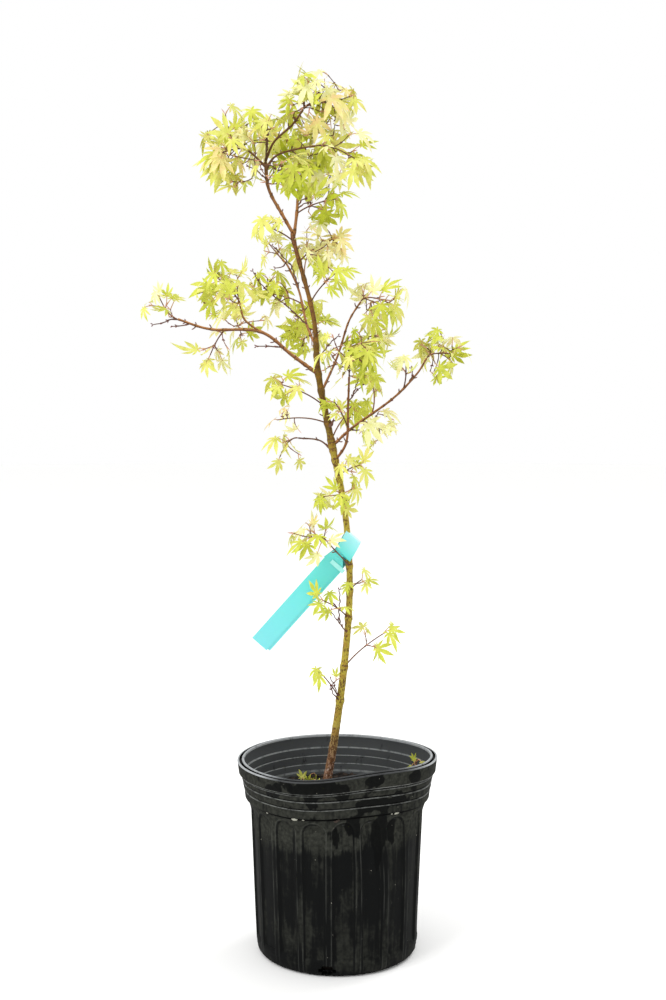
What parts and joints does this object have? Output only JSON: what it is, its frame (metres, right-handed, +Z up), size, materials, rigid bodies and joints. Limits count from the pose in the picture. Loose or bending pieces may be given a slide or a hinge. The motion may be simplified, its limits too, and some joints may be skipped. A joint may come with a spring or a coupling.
{
  "type": "potted japanese maple",
  "caption": "Young palmate-leaved maple with a thin crooked trunk, airy tiers of foliage and a blank loop tag, growing in a fluted black nursery pot",
  "frame": {"origin": "centre of the pot's flat underside, on the ground", "axes": "+Z up, -Y towards the viewer of the picture, +X to the viewer's right"},
  "size_m": [0.2671, 0.1594, 0.714],
  "materials": {
    "pot_plastic": "blow-moulded black polyethylene, dusty, with dark water runs",
    "potting_mix": "damp bark-based potting mix",
    "trunk_bark": "smooth young olive-yellow bark with fine brown lenticels and ring scars",
    "bough_bark": "smooth reddish-brown young bark",
    "tag_plastic": "turquoise PVC strip, blank",
    "foliage": "thin yellow-green palmate leaves on reddish petioles and twigs"
  },
  "bodies": {
    "root": {"pot": "pot_plastic", "soil": "potting_mix", "trunk": "trunk_bark", "leader_left": "bough_bark", "top_arm": "bough_bark", "right_curve": "bough_bark", "left_arm": "bough_bark", "leader_right": "bough_bark", "bough_left": "bough_bark", "bough_left_up": "bough_bark", "stem_left": "bough_bark", "bough_right": "bough_bark", "right_stem": "bough_bark", "mid_right": "bough_bark", "twig_left": "bough_bark", "tag_twig": "bough_bark", "tag": "tag_plastic", "ankle_left": "foliage", "below_tag": "foliage", "centre_low": "foliage", "crown_back": "foliage", "crown_centre": "foliage", "crown_front": "foliage", "crown_inner": "foliage", "crown_left": "foliage", "crown_low_right": "foliage", "crown_right": "foliage", "crown_top": "foliage", "inner_back": "foliage", "inner_front": "foliage", "inner_side": "foliage", "inner_top": "foliage", "knee": "foliage", "left_back": "foliage", "left_high": "foliage", "left_low": "foliage", "left_tip": "foliage", "low_left_front": "foliage", "low_right": "foliage", "neck_left": "foliage", "right_high": "foliage", "right_high_low": "foliage", "right_low": "foliage", "right_low_back": "foliage", "right_mid": "foliage", "right_tip": "foliage", "right_tip_inner": "foliage", "shin_left": "foliage", "shin_right": "foliage", "sprout_left": "foliage", "sprout_right": "foliage", "tag_spray": "foliage", "twig_high": "foliage", "twig_low": "foliage", "upper_back": "foliage", "upper_low": "foliage", "upper_right": "foliage"}
  },
  "joints": []
}
